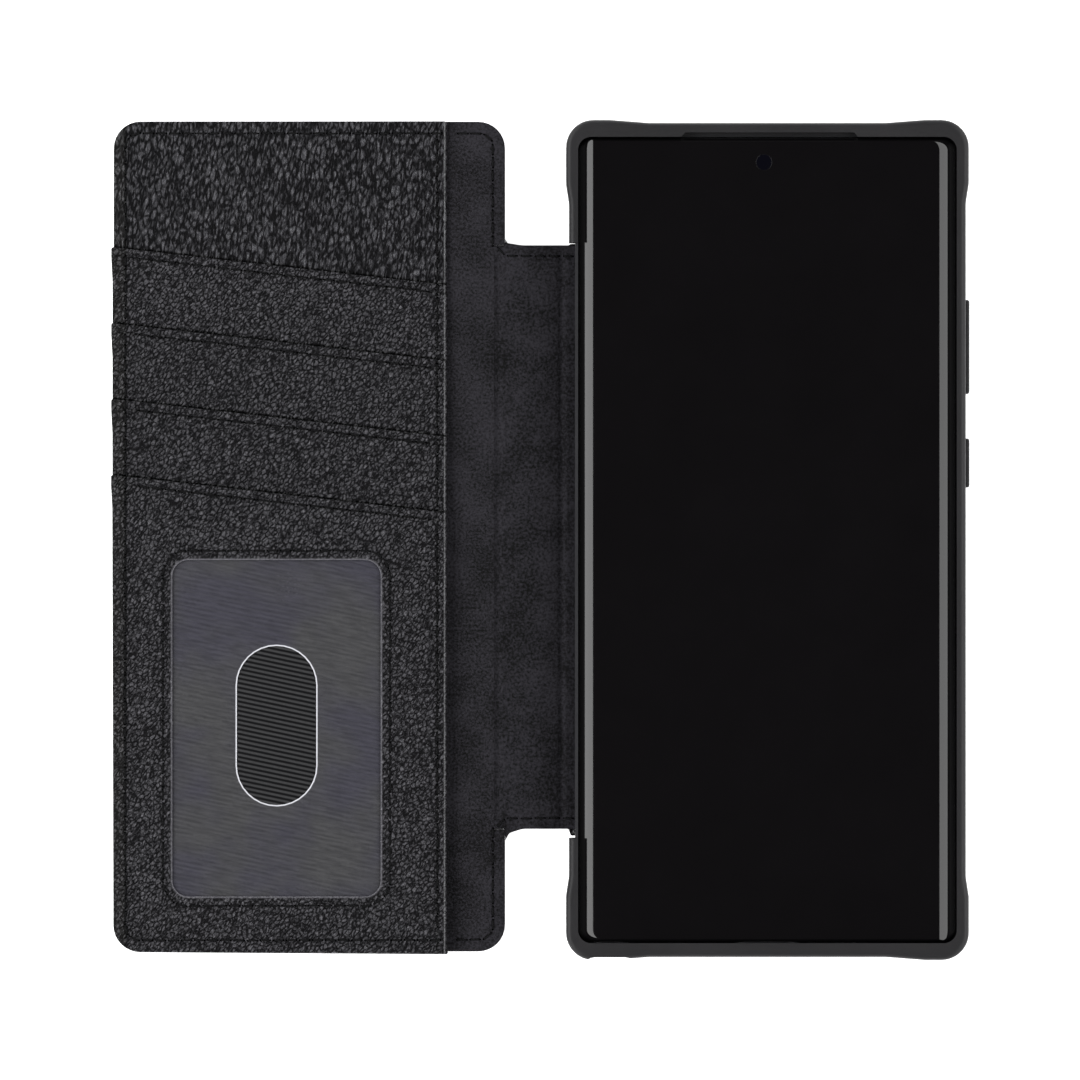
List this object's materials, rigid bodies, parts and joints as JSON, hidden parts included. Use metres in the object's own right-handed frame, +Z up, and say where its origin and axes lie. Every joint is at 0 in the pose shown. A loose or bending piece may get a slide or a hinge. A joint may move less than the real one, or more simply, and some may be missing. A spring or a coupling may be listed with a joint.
{
  "type": "phone wallet case",
  "caption": "Folio wallet case: a rubber-edged tray for a large handset, with a folding spine and a leather cover that holds cards, an ID card behind a window and banknotes.",
  "frame": {"origin": "middle of the open case's footprint, at the height of the table it lies on", "axes": "+X from the wallet cover to the handset, +Y to the handset's top, +Z up from the table"},
  "size_m": [0.1762, 0.1722, 0.0118],
  "materials": {
    "hard_shell": "fine-textured hard plastic",
    "rubber_bumper": "soft-touch matte rubber",
    "key_caps": "matte, slightly smoother than the bumper",
    "microfibre": "short-napped charcoal microfibre",
    "outer_leather": "black pebbled leather",
    "panel_leather": "black leather with a coarse stretched grain",
    "wallet_leather": "black leather with a fine pebbled grain",
    "pocket_fabric": "black woven lining",
    "ribbed_fabric": "black ribbed lining",
    "clear_film": "slightly milky clear film",
    "board": "flexible stiffening board",
    "bezel": "satin black",
    "thread": "black sewing thread",
    "screen_glass": "glossy black screen, switched off",
    "handset_back": "satin black glass",
    "handset_metal": "dark satin metal",
    "lens_glass": "coated lens"
  },
  "bodies": {
    "shell": {"hard_tray": "hard_shell", "bumper_frame": "rubber_bumper", "tray_liner": "microfibre", "back_leather": "outer_leather", "camera_bezel": "bezel"},
    "volume_button": {"volume_key": "key_caps"},
    "power_button": {"power_key": "key_caps"},
    "spine": {"spine_leather": "outer_leather", "spine_board": "board", "spine_lining": "microfibre", "spine_thread": "thread", "tray_fold_leather": "outer_leather", "tray_fold_lining": "microfibre"},
    "cover": {"cover_leather": "outer_leather", "cover_board": "board", "cover_lining": "microfibre", "cover_fold_leather": "outer_leather", "cover_fold_lining": "microfibre", "cash_pocket_back": "pocket_fabric", "wallet_panel": "panel_leather", "card_pocket_1": "wallet_leather", "card_pocket_2": "wallet_leather", "card_pocket_3": "wallet_leather", "window_lining": "ribbed_fabric", "window_film": "clear_film", "window_pocket": "wallet_leather", "cover_thread": "thread", "panel_thread": "thread", "window_thread": "thread", "hem_thread": "thread"},
    "handset": {"handset_back_glass": "handset_back", "handset_camera_block": "handset_metal", "handset_camera_lenses": "lens_glass", "handset_frame": "handset_metal", "handset_front_camera": "lens_glass", "handset_screen": "screen_glass"}
  },
  "joints": [
    {"name": "spine_fold", "type": "hinge", "parent": "shell", "child": "spine", "pos_m": [0.00682, 0, 0.00147], "axis": [0, 1, 0], "range_deg": [-90, 90], "deforming": ["tray_fold_leather", "tray_fold_lining"]},
    {"name": "cover_fold", "type": "hinge", "parent": "spine", "child": "cover", "pos_m": [-0.0083, 0, 0.00095], "axis": [0, 1, 0], "range_deg": [-90, 90], "deforming": ["cover_fold_leather", "cover_fold_lining"]},
    {"name": "volume_press", "type": "slide", "parent": "shell", "child": "volume_button", "axis": [-1, 0, 0], "range_m": [0, 0.00035], "stiffness_N_per_m": 2000, "springref_m": -0.0002},
    {"name": "power_press", "type": "slide", "parent": "shell", "child": "power_button", "axis": [-1, 0, 0], "range_m": [0, 0.00035], "stiffness_N_per_m": 2000, "springref_m": -0.0002},
    {"name": "handset_lift", "type": "slide", "parent": "shell", "child": "handset", "axis": [0, 0, -1], "range_m": [-0.014, 0]}
  ]
}
